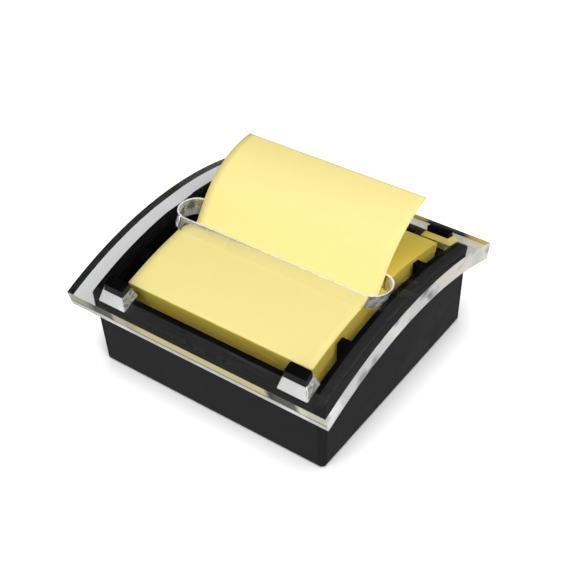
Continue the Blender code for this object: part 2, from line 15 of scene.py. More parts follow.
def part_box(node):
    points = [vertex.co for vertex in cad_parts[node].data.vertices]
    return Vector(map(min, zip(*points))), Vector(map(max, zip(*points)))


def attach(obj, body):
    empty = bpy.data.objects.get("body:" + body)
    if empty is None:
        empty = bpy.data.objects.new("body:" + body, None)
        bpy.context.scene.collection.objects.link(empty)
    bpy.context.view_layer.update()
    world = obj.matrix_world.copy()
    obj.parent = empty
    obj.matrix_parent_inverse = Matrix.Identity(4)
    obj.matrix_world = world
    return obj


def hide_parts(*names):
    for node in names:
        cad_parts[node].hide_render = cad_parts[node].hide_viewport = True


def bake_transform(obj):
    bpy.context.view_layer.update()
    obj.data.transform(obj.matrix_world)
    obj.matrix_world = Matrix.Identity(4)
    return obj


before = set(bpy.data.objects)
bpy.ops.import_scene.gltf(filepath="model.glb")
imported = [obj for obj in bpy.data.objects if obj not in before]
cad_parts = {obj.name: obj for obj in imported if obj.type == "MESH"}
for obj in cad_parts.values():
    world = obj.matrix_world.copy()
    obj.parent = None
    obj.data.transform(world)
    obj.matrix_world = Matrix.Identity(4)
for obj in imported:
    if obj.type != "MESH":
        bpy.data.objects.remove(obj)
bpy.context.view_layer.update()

# Base plate
# The moulded plate that closes the base from below. It is the same black ABS as the shell, with the fine
# spark-eroded grain of its mould, and it lies in a rebate of the shell, where four screws hold it.

GRAIN_SIZE = 0.00022
GRAIN_DEPTH = 0.000006
HANDLING_SIZE = 0.011
RUBBED_SMOOTH = 0.05
RUBBED_DULL = 0.07
NOISE_RANGE = (0.3, 0.7)
WALL_BLACK = (0.0175, 0.0180, 0.0177)
WALL_BLACK_WORN = (0.0215, 0.0220, 0.0216)
WALL_ROUGHNESS = 0.42
WALL_SHINE = 0.13


def shader_of(material):
    """The material's Principled shader."""
    return material.node_tree.nodes["Principled BSDF"]


def new_material(name, colour, roughness, metallic=0.0):
    """A material with a Principled shader, ready for its nodes."""
    material = bpy.data.materials.new(name)
    material.use_nodes = True
    shader = shader_of(material)
    shader.inputs["Base Color"].default_value = (*colour, 1.0)
    shader.inputs["Roughness"].default_value = roughness
    shader.inputs["Metallic"].default_value = metallic
    return material, shader


def node(material, kind, sockets=None, **settings):
    """A node in the material, with its settings, and with values or links on its input sockets."""
    tree = material.node_tree
    made = tree.nodes.new(kind)
    for setting, value in settings.items():
        setattr(made, setting, value)
    for name, value in (sockets or {}).items():
        if isinstance(value, bpy.types.NodeSocket):
            tree.links.new(value, made.inputs[name])
        else:
            made.inputs[name].default_value = value
    return made


def link(material, source, target):
    """Join an output socket to an input socket."""
    material.node_tree.links.new(source, target)


def place_on_piece(material):
    """Object coordinates. They are the frame's own, because every piece sits at its origin."""
    return node(material, "ShaderNodeTexCoord").outputs["Object"]


def pattern(material, size, detail=2.0, stretch=(1.0, 1.0, 1.0), distortion=0.0):
    """Noise over the piece with features of this size, drawn out along any axis by its stretch."""
    scale = tuple(1.0 / (size * drawn_out) for drawn_out in stretch)
    mapped = node(material, "ShaderNodeMapping", {"Vector": place_on_piece(material), "Scale": scale})
    made = node(
        material,
        "ShaderNodeTexNoise",
        {"Vector": mapped.outputs["Vector"], "Scale": 1.0, "Detail": detail, "Distortion": distortion},
    )
    return made.outputs["Fac"]


def spread(material, source, low, high, out_low=0.0, out_high=1.0):
    """The source's range low to high, stretched to the range out_low to out_high."""
    made = node(
        material,
        "ShaderNodeMapRange",
        {"Value": source, "From Min": low, "From Max": high, "To Min": out_low, "To Max": out_high},
    )
    return made.outputs["Result"]


def between(material, source, first, second):
    """A colour between two by the source, each of them a plain colour or a socket."""
    made = node(material, "ShaderNodeMix", data_type="RGBA")
    link(material, source, made.inputs[0])
    for index, colour in ((6, first), (7, second)):
        if isinstance(colour, bpy.types.NodeSocket):
            link(material, colour, made.inputs[index])
        else:
            made.inputs[index].default_value = (*colour, 1.0)
    return made.outputs[2]


def relief(material, source, depth):
    """A bump of this real depth."""
    made = node(material, "ShaderNodeBump", {"Height": source, "Distance": depth, "Strength": 1.0})
    return made.outputs["Normal"]


def moulded_black(name, colour, worn, roughness, shine):
    """Black ABS out of a grained mould: even, with faint marks of handling."""
    material, shader = new_material(name, colour, roughness)
    shader.inputs["Specular IOR Level"].default_value = shine
    grain = pattern(material, GRAIN_SIZE, detail=1.0)
    handling = pattern(material, HANDLING_SIZE, detail=4.0, distortion=0.6)
    rubbed = spread(material, handling, *NOISE_RANGE, roughness - RUBBED_SMOOTH, roughness + RUBBED_DULL)
    link(material, between(material, handling, colour, worn), shader.inputs["Base Color"])
    link(material, rubbed, shader.inputs["Roughness"])
    link(material, relief(material, grain, GRAIN_DEPTH), shader.inputs["Normal"])
    return material


def dress(name, material):
    """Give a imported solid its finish. Its shape stays."""
    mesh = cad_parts[name].data
    mesh.materials.clear()
    mesh.materials.append(material)


grained_black = moulded_black("grained_black_abs", WALL_BLACK, WALL_BLACK_WORN, WALL_ROUGHNESS, WALL_SHINE)
dress("base_plate", grained_black)

# Feet
# Four round rubber feet with a soft edge, stuck into shallow recesses in the plate. The rubber is black and
# matt, with a little chalky bloom.

FOOT_EDGE = 0.0004
FOOT_EDGE_STEPS = 6
FOOT_ROUND_STEPS = 48
RUBBER = (0.022, 0.022, 0.023)
RUBBER_DEEP = (0.018, 0.018, 0.019)
RUBBER_BLOOM = (0.040, 0.040, 0.041)
BLOOM_SIZE = 0.0016
RUBBER_TOOTH_SIZE = 0.0003
RUBBER_TOOTH_DEPTH = 0.000012
WELD = 0.000002
# The corners of the base, each with its end: -1 is the front and 1 the back.
CORNERS = {"front_left": -1, "front_right": -1, "back_left": 1, "back_right": 1}


def to_object(bm, name, material, sharp_deg=30.0):
    """Turn a bmesh into an object, its faces outwards, smooth but for its sharp edges."""
    bmesh.ops.recalc_face_normals(bm, faces=bm.faces[:])
    mesh = bpy.data.meshes.new(name)
    bm.to_mesh(mesh)
    bm.free()
    mesh.shade_smooth()
    mesh.set_sharp_from_angle(angle=math.radians(sharp_deg))
    made = bpy.data.objects.new(name, mesh)
    bpy.context.scene.collection.objects.link(made)
    if material is not None:
        mesh.materials.append(material)
    return made


def turned(bm, profile, centre, steps):
    """Spin a profile of (radius, height) points about an upright axis, on which both of its ends lie."""
    verts = [bm.verts.new((centre[0] + radius, centre[1], height)) for radius, height in profile]
    edges = [bm.edges.new(pair) for pair in zip(verts, verts[1:])]
    bmesh.ops.spin(
        bm,
        geom=[*verts, *edges],
        cent=(centre[0], centre[1], 0),
        axis=(0, 0, 1),
        angle=math.tau,
        steps=steps,
        use_merge=True,
    )
    bmesh.ops.remove_doubles(bm, verts=bm.verts[:], dist=WELD)


rubber, rubber_shader = new_material("foot_rubber", RUBBER, roughness=0.85)
bloom = pattern(rubber, BLOOM_SIZE, detail=5.0)
rubber_tooth = pattern(rubber, RUBBER_TOOTH_SIZE)
link(rubber, between(rubber, bloom, RUBBER_DEEP, RUBBER_BLOOM), rubber_shader.inputs["Base Color"])
link(rubber, relief(rubber, rubber_tooth, RUBBER_TOOTH_DEPTH), rubber_shader.inputs["Normal"])

for corner in CORNERS:
    low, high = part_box(f"foot_{corner}")
    foot_radius = (high.x - low.x) / 2
    profile = [(0, low.z), (foot_radius - 2 * FOOT_EDGE, low.z)]
    for step in range(1, FOOT_EDGE_STEPS + 1):
        angle = math.radians(90 * step / FOOT_EDGE_STEPS)
        out = FOOT_EDGE * math.sin(angle)
        up = FOOT_EDGE * (1 - math.cos(angle))
        profile.append((foot_radius - FOOT_EDGE + out, low.z + up))
    profile += [(foot_radius, high.z), (0, high.z)]
    foot_mesh = bmesh.new()
    turned(foot_mesh, profile, ((low.x + high.x) / 2, (low.y + high.y) / 2), FOOT_ROUND_STEPS)
    foot = to_object(foot_mesh, f"rubber_foot_{corner}", rubber, sharp_deg=40.0)
    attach(foot, "base")
    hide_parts(f"foot_{corner}")

# Ballast and screws
# A sheared steel plate gives the base its weight, and two short screws hold it to the base plate. Four
# longer ones close the base from below. The ballast is bare steel with a rolled grain, the screws are zinc
# plated.

ROLLED = (0.36, 0.37, 0.38)
ROLLED_LIGHT = (0.50, 0.51, 0.52)
ROLLED_ROUGHNESS = (0.30, 0.48)
ROLLING_SIZE = 0.0004
ROLLING_STRETCH = (1.0, 40.0, 1.0)
ROLLING_DEPTH = 0.000004
ZINC = (0.55, 0.56, 0.57)
ZINC_WARM = (0.62, 0.60, 0.52)
ZINC_ROUGHNESS = (0.26, 0.44)
PLATING_SIZE = 0.0012

rolled_steel, steel_shader = new_material("rolled_steel", ROLLED, roughness=0.38, metallic=1.0)
rolling = pattern(rolled_steel, ROLLING_SIZE, detail=3.0, stretch=ROLLING_STRETCH)
rolled_haze = spread(rolled_steel, rolling, *NOISE_RANGE, *ROLLED_ROUGHNESS)
link(rolled_steel, between(rolled_steel, rolling, ROLLED, ROLLED_LIGHT), steel_shader.inputs["Base Color"])
link(rolled_steel, rolled_haze, steel_shader.inputs["Roughness"])
link(rolled_steel, relief(rolled_steel, rolling, ROLLING_DEPTH), steel_shader.inputs["Normal"])
dress("ballast_weight", rolled_steel)

zinc, zinc_shader = new_material("zinc_plated_steel", ZINC, roughness=0.34, metallic=1.0)
plating = pattern(zinc, PLATING_SIZE, detail=4.0)
link(zinc, between(zinc, plating, ZINC, ZINC_WARM), zinc_shader.inputs["Base Color"])
link(zinc, spread(zinc, plating, *NOISE_RANGE, *ZINC_ROUGHNESS), zinc_shader.inputs["Roughness"])
for packed_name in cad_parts:
    if "screw" in packed_name:
        dress(packed_name, zinc)

# Side shell
# The four walls of the base in one moulding, with a little draft, rounded corners and an arched top edge.
# The walls have the fine grain, their shine is turned down at the upright corners as painted shade, and the
# edges are just broken.

SHELL_EDGE = 0.00035
EDGE_STEPS = 3
FLAT_DEG = 0.3
SHARP_DEG = 40
OUTER_WALL_SHARE = 0.962
CORNER_SHADE_SHINE = 0.02
CORNER_REACH = 0.0030
CORNER_FADE = 0.0006

shell_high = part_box("side_shell")[1]


def maths(material, operation, first, second=0.0):
    """The result of one operation on numbers or sockets."""
    return node(material, "ShaderNodeMath", {0: first, 1: second}, operation=operation).outputs[0]


def along(material, vector, axis):
    """One part of a vector."""
    return node(material, "ShaderNodeSeparateXYZ", {"Vector": vector}).outputs[axis]


def near_outline(material, reach, fade):
    """Two ramps from 0 to 1 that end near the shell's outline, one along X and one along Y."""
    ramps = []
    for axis, edge in (("X", shell_high.x), ("Y", shell_high.y)):
        out = maths(material, "ABSOLUTE", along(material, place_on_piece(material), axis))
        ramps.append(spread(material, out, edge - reach, edge - reach + fade))
    return ramps


def round_off(bm, edges, width, steps=EDGE_STEPS):
    """Round the edges, and give the new faces."""
    return bmesh.ops.bevel(
        bm,
        geom=edges,
        offset=width,
        offset_type="OFFSET",
        segments=steps,
        profile=0.5,
        affect="EDGES",
        material=-1,
        clamp_overlap=True,
    )["faces"]


def softened(name, width, wanted):
    """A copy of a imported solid, welded, with its flat faces joined up and the wanted sharp edges rounded."""
    bm = bmesh.new()
    bm.from_mesh(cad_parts[name].data)
    bmesh.ops.remove_doubles(bm, verts=bm.verts[:], dist=WELD)
    bmesh.ops.dissolve_limit(bm, angle_limit=math.radians(FLAT_DEG), verts=bm.verts[:], edges=bm.edges[:])
    sharp = []
    for edge in bm.edges:
        if edge.is_manifold and edge.calc_face_angle() > math.radians(SHARP_DEG):
            if wanted((edge.verts[0].co + edge.verts[1].co) / 2):
                sharp.append(edge)
    round_off(bm, sharp, width)
    return bm


def outline_share(point):
    """How far out a point lies: 0 in the middle, 1 at the shell's outline."""
    return max(abs(point.x) / shell_high.x, abs(point.y) / shell_high.y)


def on_outer_wall(middle):
    """True on the outer faces of the shell, away from its rebates."""
    return outline_share(middle) > OUTER_WALL_SHARE


# Painted shade: the walls' shine fades near their upright corners, so the corners look darker.
near_corner = maths(grained_black, "MULTIPLY", *near_outline(grained_black, CORNER_REACH, CORNER_FADE))
wall_shine_and_corner_shade = spread(grained_black, near_corner, 0.0, 1.0, WALL_SHINE, CORNER_SHADE_SHINE)
link(grained_black, wall_shine_and_corner_shade, shader_of(grained_black).inputs["Specular IOR Level"])
walls = to_object(softened("side_shell", SHELL_EDGE, on_outer_wall), "shell_walls", grained_black)
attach(walls, "base")
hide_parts("side_shell")

# Pad tray
# The deck and the well for the pad are one moulding, which lies on the shell. The deck follows the arch of
# the cover and is darker and smoother than the walls. Its rim is paler, partly with a grained finish like the
# walls' and partly as painted light, though hardly on the left, where painted shade keeps it dark, and ribs in
# the well keep the pad in the middle.

TRAY_EDGE = 0.00045
ARCH_RADIUS = 0.137
COVER_THICKNESS = 0.00635
DECK_GAP = 0.0003
DECK_EDGE_BAND = 0.0008
DECK_RIM_SHARE = 0.97
SOCKET_MARGIN = 0.001
DECK_BLACK = (0.0022, 0.0024, 0.0023)
DECK_BLACK_WORN = (0.0036, 0.0038, 0.0036)
DECK_ROUGHNESS = 0.30
DECK_SHINE = 0.03
RIM_GRAIN_AND_LIGHT_BLACK = (0.0210, 0.0215, 0.0210)
RIM_SHINE = 0.06
RIM_REACH = 0.0030
RIM_FADE = 0.0003
RIM_LEFT_SHADE_SHARE = 0.1
RIM_CHANGE_X = 0.02

cover_low, cover_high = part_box("clear_cover")
post_boxes = {corner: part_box(f"cover_post_{corner}") for corner in CORNERS}
ARCH_CENTRE_Z = cover_high.z - ARCH_RADIUS
UNDERSIDE_RADIUS = ARCH_RADIUS - COVER_THICKNESS


def arch_radius_at(point):
    """How far a point lies from the arch's axis."""
    return math.hypot(point.y, point.z - ARCH_CENTRE_Z)


def on_deck_edge(middle):
    """True on the deck's own edges, but not at the sockets of the posts."""
    if arch_radius_at(middle) < UNDERSIDE_RADIUS - DECK_GAP - DECK_EDGE_BAND:
        return False
    near_post = any(
        low.x - SOCKET_MARGIN < middle.x < high.x + SOCKET_MARGIN
        and low.y - SOCKET_MARGIN < middle.y < high.y + SOCKET_MARGIN
        for low, high in post_boxes.values()
    )
    return outline_share(middle) > DECK_RIM_SHARE or not near_post


satin_black = moulded_black("satin_black_abs", DECK_BLACK, DECK_BLACK_WORN, DECK_ROUGHNESS, DECK_SHINE)
satin_shader = shader_of(satin_black)
# Painted light and shade: a paler rim band, partly a grained finish and partly painted light, faded out on the
# left as painted shade.
rim_at_sides, rim_at_ends = near_outline(satin_black, RIM_REACH, RIM_FADE)
rightwards = along(satin_black, place_on_piece(satin_black), "X")
rim_left_shade = spread(satin_black, rightwards, -RIM_CHANGE_X, RIM_CHANGE_X, RIM_LEFT_SHADE_SHARE, 1.0)
rim_at_sides = maths(satin_black, "MULTIPLY", rim_at_sides, rim_left_shade)
on_deck_rim = maths(satin_black, "MAXIMUM", rim_at_sides, rim_at_ends)
deck_colour = satin_shader.inputs["Base Color"].links[0].from_socket
tray_colour = between(satin_black, on_deck_rim, deck_colour, RIM_GRAIN_AND_LIGHT_BLACK)
tray_shine = spread(satin_black, on_deck_rim, 0.0, 1.0, DECK_SHINE, RIM_SHINE)
link(satin_black, tray_colour, satin_shader.inputs["Base Color"])
link(satin_black, tray_shine, satin_shader.inputs["Specular IOR Level"])
tray = to_object(softened("pad_tray", TRAY_EDGE, on_deck_edge), "deck_and_well", satin_black)
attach(tray, "base")
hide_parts("pad_tray")

# Corner posts
# Four black blocks that stand in sockets in the deck and come up through pockets in the cover, which they
# hold in place. Each is moulded with full round corners, and its head stands a little proud of the cover.
# The tops, and the back posts all over, take the darker cap black and the front posts' sides the paler wall
# black: painted shade and light on one moulding.

POST_CORNER = 0.0007
POST_CORNER_STEPS = 5
POST_RIM = 0.00035
POST_TOP_WIDTH = 0.0084
POST_BOTTOM_WIDTH = 0.0094
POST_DEPTH = 0.0040
POST_LEAN = 0.0003
POST_PROUD = 0.0020
CAP_ROUGHNESS = 0.28
CAP_SHINE = 0.03
FACING_UP = 0.6
UPRIGHT = 0.7


def arch_height(y, radius):
    """The height at this Y of the arch with this radius."""
    return ARCH_CENTRE_Z + math.sqrt(radius**2 - y**2)


def tapered_block(low, high):
    """A block whose ends follow the arch: each end is (x from, x to, y from, y to, radius)."""
    bm = bmesh.new()
    bmesh.ops.create_cube(bm, size=2.0)
    for vert in bm.verts:
        x_from, x_to, y_from, y_to, radius = high if vert.co.z > 0 else low
        x = x_to if vert.co.x > 0 else x_from
        y = y_to if vert.co.y > 0 else y_from
        vert.co = (x, y, arch_height(y, radius))
    return bm


def upright_edges(bm):
    """The edges of a tapered block that run from one end to the other."""
    return [
        edge
        for edge in bm.edges
        if abs((edge.verts[0].co - edge.verts[1].co).normalized().z) > UPRIGHT
    ]


cap_black = moulded_black("cap_black_abs", DECK_BLACK, DECK_BLACK_WORN, CAP_ROUGHNESS, CAP_SHINE)
head_radius = ARCH_RADIUS + POST_PROUD
for corner, end in CORNERS.items():
    low, high = post_boxes[corner]
    middle_x = (low.x + high.x) / 2
    near = min(abs(low.y), abs(high.y))
    block_ends = []
    for width, shift, radius in (
        (POST_BOTTOM_WIDTH, 0.0, UNDERSIDE_RADIUS),
        (POST_TOP_WIDTH, POST_LEAN, head_radius),
    ):
        y_pair = sorted((end * (near + shift), end * (near + shift + POST_DEPTH)))
        block_ends.append((middle_x - width / 2, middle_x + width / 2, *y_pair, radius))
    post_mesh = tapered_block(*block_ends)
    round_off(post_mesh, upright_edges(post_mesh), POST_CORNER, POST_CORNER_STEPS)
    head_edges = [
        edge
        for edge in post_mesh.edges
        if all(arch_radius_at(vert.co) > head_radius - POST_PROUD / 2 for vert in edge.verts)
    ]
    round_off(post_mesh, head_edges, POST_RIM)
    # Painted shade and light: the tops and the back posts take the dark cap black, the front posts' sides the
    # paler wall black.
    for face in post_mesh.faces:
        face.material_index = 0 if face.normal.z > FACING_UP or end > 0 else 1
    post = to_object(post_mesh, f"post_{corner}", cap_black)
    post.data.materials.append(grained_black)
    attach(post, "base")
    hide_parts(f"cover_post_{corner}")

# Backing card
# The stiff grey-brown card that the notes are gummed up on. It lies on the floor of the well, where the pad
# hides it.

CARD = (0.36, 0.31, 0.25)
CARD_DARK = (0.26, 0.22, 0.17)
CARD_PALE = (0.46, 0.41, 0.34)
FIBRE_SIZE = 0.0009
FIBRE_STRETCH = (3.0, 1.0, 1.0)
FIBRE_DEPTH = 0.00003

card, card_shader = new_material("grey_card", CARD, roughness=0.9)
fibres = pattern(card, FIBRE_SIZE, detail=6.0, stretch=FIBRE_STRETCH)
link(card, between(card, fibres, CARD_DARK, CARD_PALE), card_shader.inputs["Base Color"])
link(card, relief(card, fibres, FIBRE_DEPTH), card_shader.inputs["Normal"])
dress("backing_card", card)

# Note pad
# About a hundred notes of thin uncoated paper, gummed at alternate ends so that each pulls up the next. The
# cut edges of the stack aren't quite even: some notes stand a hair in or out of the others. The pad's paper
# is a deeper gold than the popped note's, partly the stacked edges' own colour and partly painted shade, as
# its faces that show lie in shade.

PAD_SIDE = 0.0762
PAD_THICKNESS = 0.0110
PAPER_SLOT_GAP = 0.0003
SHEET_THICKNESS = 0.0002
PAD_BUNCHES = 44
PAD_UNEVEN = 0.00009
PAD_STEPS = 30
PAD_RADIUS = UNDERSIDE_RADIUS - 2 * PAPER_SLOT_GAP - SHEET_THICKNESS
PAD_GOLD_AND_SHADE = (0.995, 0.750, 0.110)
PAD_GOLD_AND_SHADE_DEEP = (0.975, 0.715, 0.085)
PAD_GLOW = 0.30
PAD_GLOW_COLOUR = (1.0, 0.8, 0.3)
PAD_GLOW_REACH = 0.0045
PAPER_ROUGHNESS = (0.74, 0.90)
PULP_SIZE = 0.0021
PAPER_TOOTH_SIZE = 0.00016
PAPER_TOOTH_DEPTH = 0.000010


def note_paper(name, colour, deep):
    """Uncoated coloured paper: cloudy at the scale of its pulp, with a fine tooth."""
    material, shader = new_material(name, colour, roughness=0.82)
    clouds = pattern(material, PULP_SIZE, detail=5.0)
    tooth = pattern(material, PAPER_TOOTH_SIZE, detail=2.0)
    link(material, between(material, clouds, colour, deep), shader.inputs["Base Color"])
    link(material, spread(material, tooth, *NOISE_RANGE, *PAPER_ROUGHNESS), shader.inputs["Roughness"])
    link(material, relief(material, tooth, PAPER_TOOTH_DEPTH), shader.inputs["Normal"])
    return material


def raised(bm, faces, first):
    """Extrude the faces, which stay only where they close the first end, and give the new ones."""
    made = bmesh.ops.extrude_face_region(bm, geom=faces)["geom"]
    if not first:
        bmesh.ops.delete(bm, geom=faces, context="FACES_KEEP_BOUNDARY")
    return [item for item in made if isinstance(item, bmesh.types.BMFace)]


# The pad's paper is deeper gold than the note's: partly the stacked edges' own colour, partly painted shade.
cut_edges_and_shade = note_paper("pad_paper", PAD_GOLD_AND_SHADE, PAD_GOLD_AND_SHADE_DEEP)
cut_shader = shader_of(cut_edges_and_shade)
cut_shader.inputs["Subsurface Weight"].default_value = PAD_GLOW
cut_shader.inputs["Subsurface Radius"].default_value = PAD_GLOW_COLOUR
cut_shader.inputs["Subsurface Scale"].default_value = PAD_GLOW_REACH

pad_front_angle = math.asin(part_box("note_pad")[0].y / PAD_RADIUS)
bunch_thickness = PAD_THICKNESS / PAD_BUNCHES
draw = random.Random(7)
pad_mesh = bmesh.new()
bmesh.ops.create_grid(pad_mesh, x_segments=2, y_segments=PAD_STEPS, size=PAD_SIDE / 2)
top_faces = pad_mesh.faces[:]
size_now = PAD_SIDE
for bunch in range(PAD_BUNCHES):
    size_next = PAD_SIDE - 2 * draw.uniform(0.0, PAD_UNEVEN)
    for grow, climb in ((size_next / size_now, 0.0), (1.0, bunch_thickness)):
        top_faces = raised(pad_mesh, top_faces, first=bunch == 0 and climb == 0)
        for vert in {vert for face in top_faces for vert in face.verts}:
            vert.co = (vert.co.x * grow, vert.co.y * grow, vert.co.z + climb)
    size_now = size_next
for vert in pad_mesh.verts:
    angle = pad_front_angle + (vert.co.y + PAD_SIDE / 2) / PAD_RADIUS
    radius = PAD_RADIUS - PAD_THICKNESS + vert.co.z
    vert.co = (vert.co.x, radius * math.sin(angle), ARCH_CENTRE_Z + radius * math.cos(angle))
pad = to_object(pad_mesh, "stack_of_notes", cut_edges_and_shade, sharp_deg=20.0)
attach(pad, "base")
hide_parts("note_pad")

# Clear cover
# One piece of thick clear acrylic, bent to the arch, with a round-ended slot for the notes and a tapered
# pocket at each corner for its post. Its faces are polished, its cut walls are satin and its edges are
# broken. Its rims, pockets and slot ends carry painted light and shade: the light that it pipes to them and
# what they show are painted into their colour as white, yellow, gold, grey and dark bands and glints.

COVER_STEPS = 90
COVER_EDGE = 0.00035
COVER_HALF_Y = 0.0511
COVER_END_INSET = 0.0015
SLOT_SPARE_LENGTH = 0.0052
SLOT_WIDTH = 0.0120
SLOT_FLARE = 0.0031
SLOT_ROUND_STEPS = 96
SLOT_RIM_WIDTH = 0.0006
SLOT_RIM_DEPTH = 0.00012
POST_CLEARANCE = 0.0003
POCKET_DRAFT_X = 0.0014
POCKET_DRAFT_INNER = 0.0020
POCKET_DRAFT_OUTER = 0.0005
POCKET_CORNER = 0.0005
POCKET_CORNER_STEPS = 4
OVERRUN = 0.0020
ON_FACE = 0.0001
SLOT_RIM_FACING = (0.5, 0.995)
CRISP_DEG = 35

ACRYLIC = (0.990, 0.996, 0.994)
ACRYLIC_SHADE = (0.985, 0.988, 0.986)
ACRYLIC_IOR = 1.49
HAZE_SIZE = 0.0060
HAZE_RANGE = (0.35, 0.75)
HAZE_SHARE = 0.3
WAVE_SIZE = 0.0045
WHITE = (1.0, 1.0, 1.0)
EDGE_CLEARNESS = 0.30
EDGE_PAINTED_WHITE = (1.00, 1.00, 0.99)
EDGE_PAINTED_OFF_WHITE = (0.93, 0.93, 0.90)
EDGE_SHADE_LINE = (0.30, 0.29, 0.22)
EDGE_SHADE_LINE_SHARE = (0.40, 0.43)
EDGE_WHITE_SHARE = (0.30, 0.34)
EDGE_MOTTLE_SIZE = 0.0024
EDGE_MOTTLE_RANGE = (0.40, 0.60)
BACK_END_START = 0.001
GLINT_GREY = (0.36, 0.36, 0.35)
GLINT_SIZE = 0.0060
GLINT_STRETCH = (1.0, 1.6, 1.0)
GLINT_RANGE = (0.30, 0.46)
# Each stop of a painted glow of piped light is its share of the cover's width from the left, and its colour.
# The dark stops are painted shade.
FRONT_GLOW = (
    (0.00, (0.70, 0.69, 0.55)),
    (1.00, (0.95, 0.94, 0.80)),
    (0.07, (0.55, 0.54, 0.45)),
    (0.12, (0.07, 0.07, 0.06)),
    (0.18, (0.09, 0.09, 0.08)),
    (0.20, (0.60, 0.56, 0.36)),
    (0.28, (0.72, 0.68, 0.42)),
    (0.31, (1.00, 0.90, 0.42)),
    (0.78, (1.00, 0.91, 0.44)),
    (0.80, (0.07, 0.07, 0.06)),
    (0.89, (0.09, 0.09, 0.08)),
    (0.91, (0.88, 0.86, 0.68)),
)
BACK_GLOW = (
    (0.00, (0.70, 0.54, 0.11)),
    (1.00, (0.95, 0.74, 0.14)),
    (0.14, (0.04, 0.04, 0.02)),
    (0.24, (0.95, 0.74, 0.14)),
    (0.75, (0.95, 0.74, 0.14)),
    (0.77, (0.04, 0.04, 0.02)),
    (0.90, (0.05, 0.05, 0.03)),
    (0.93, (0.95, 0.74, 0.14)),
)
POCKET_GLOW = (1.00, 0.82, 0.22)
POCKET_SHADE = (0.24, 0.24, 0.21)
POCKET_PALE = (0.75, 0.75, 0.68)
POCKET_CLOUD_SIZE = 0.0016
POCKET_CLOUD_RANGE = (0.38, 0.60)
POCKET_BACK_START = (0.015, 0.020)
POCKET_SIDE_FACING = (0.4, 0.6)
STREAK_SHADE_GREY = (0.30, 0.29, 0.26)
STREAK_LIGHT_PALE = (0.95, 0.95, 0.94)
STREAK_SIZE = 0.0030
STREAK_RANGE = (0.35, 0.62)


def clear_acrylic(name, clearness, roughness, wave_depth):
    """Acrylic that lets light and shadows through, with this much clearness, haze and waviness."""
    material, shader = new_material(name, ACRYLIC, roughness)
    shader.inputs["Transmission Weight"].default_value = clearness
    shader.inputs["IOR"].default_value = ACRYLIC_IOR
    shader.inputs["Specular Tint"].default_value = (0.0, 0.0, 0.0, 1.0)
    haze = pattern(material, HAZE_SIZE, detail=5.0, distortion=0.8)
    hazed = (roughness * (1 - HAZE_SHARE), roughness * (1 + HAZE_SHARE))
    link(material, spread(material, haze, *HAZE_RANGE, *hazed), shader.inputs["Roughness"])
    waves = pattern(material, WAVE_SIZE, detail=1.0)
    link(material, relief(material, waves, wave_depth), shader.inputs["Normal"])
    rays = node(material, "ShaderNodeLightPath").outputs
    passes = maths(material, "MAXIMUM", rays["Is Shadow Ray"], rays["Is Diffuse Ray"])
    unbent = node(material, "ShaderNodeBsdfTransparent", {"Color": (*ACRYLIC_SHADE, 1.0)})
    either = node(
        material,
        "ShaderNodeMixShader",
        {0: passes, 1: shader.outputs["BSDF"], 2: unbent.outputs["BSDF"]},
    )
    link(material, either.outputs["Shader"], material.node_tree.nodes["Material Output"].inputs["Surface"])
    return material


def tinted(material, colour):
    """Give the material's shader this colour, from a socket."""
    link(material, colour, shader_of(material).inputs["Base Color"])


def glow_ramp(material, source, stops):
    """Painted colours of the light that the sheet of acrylic pipes to its edge, and of its shade, along the
    source.
    """
    ramp = node(material, "ShaderNodeValToRGB", {"Fac": source})
    for index, (share, colour) in enumerate(stops):
        stop = ramp.color_ramp.elements[index] if index < 2 else ramp.color_ramp.elements.new(share)
        stop.position = share
        stop.color = (*colour, 1.0)
    return ramp.outputs["Color"]


polished = clear_acrylic("clear_acrylic", clearness=1.0, roughness=0.004, wave_depth=0.000003)
satin_cut = clear_acrylic("satin_cut_acrylic", clearness=0.50, roughness=0.24, wave_depth=0.000020)
slot_end = clear_acrylic("slot_end_acrylic", clearness=0.72, roughness=0.10, wave_depth=0.000030)
broken_edge = clear_acrylic("broken_edge_acrylic", clearness=0.25, roughness=0.30, wave_depth=0.000004)
side_face = clear_acrylic("side_face_acrylic", EDGE_CLEARNESS, roughness=0.12, wave_depth=0.000004)
end_face = clear_acrylic("end_face_acrylic", EDGE_CLEARNESS, roughness=0.12, wave_depth=0.000004)
cover_finishes = [polished, satin_cut, slot_end, broken_edge, side_face, end_face]

# The side faces are quite clear from inside. From outside they have grey and white glints: painted light and
# shade in their colour.
inside = node(side_face, "ShaderNodeNewGeometry").outputs["Backfacing"]
side_clearness = spread(side_face, inside, 0.0, 1.0, EDGE_CLEARNESS, 1.0)
link(side_face, side_clearness, shader_of(side_face).inputs["Transmission Weight"])
glints = pattern(side_face, GLINT_SIZE, detail=1.0, stretch=GLINT_STRETCH, distortion=0.25)
glints = spread(side_face, glints, *GLINT_RANGE)
tinted(side_face, between(side_face, glints, GLINT_GREY, EDGE_PAINTED_WHITE))

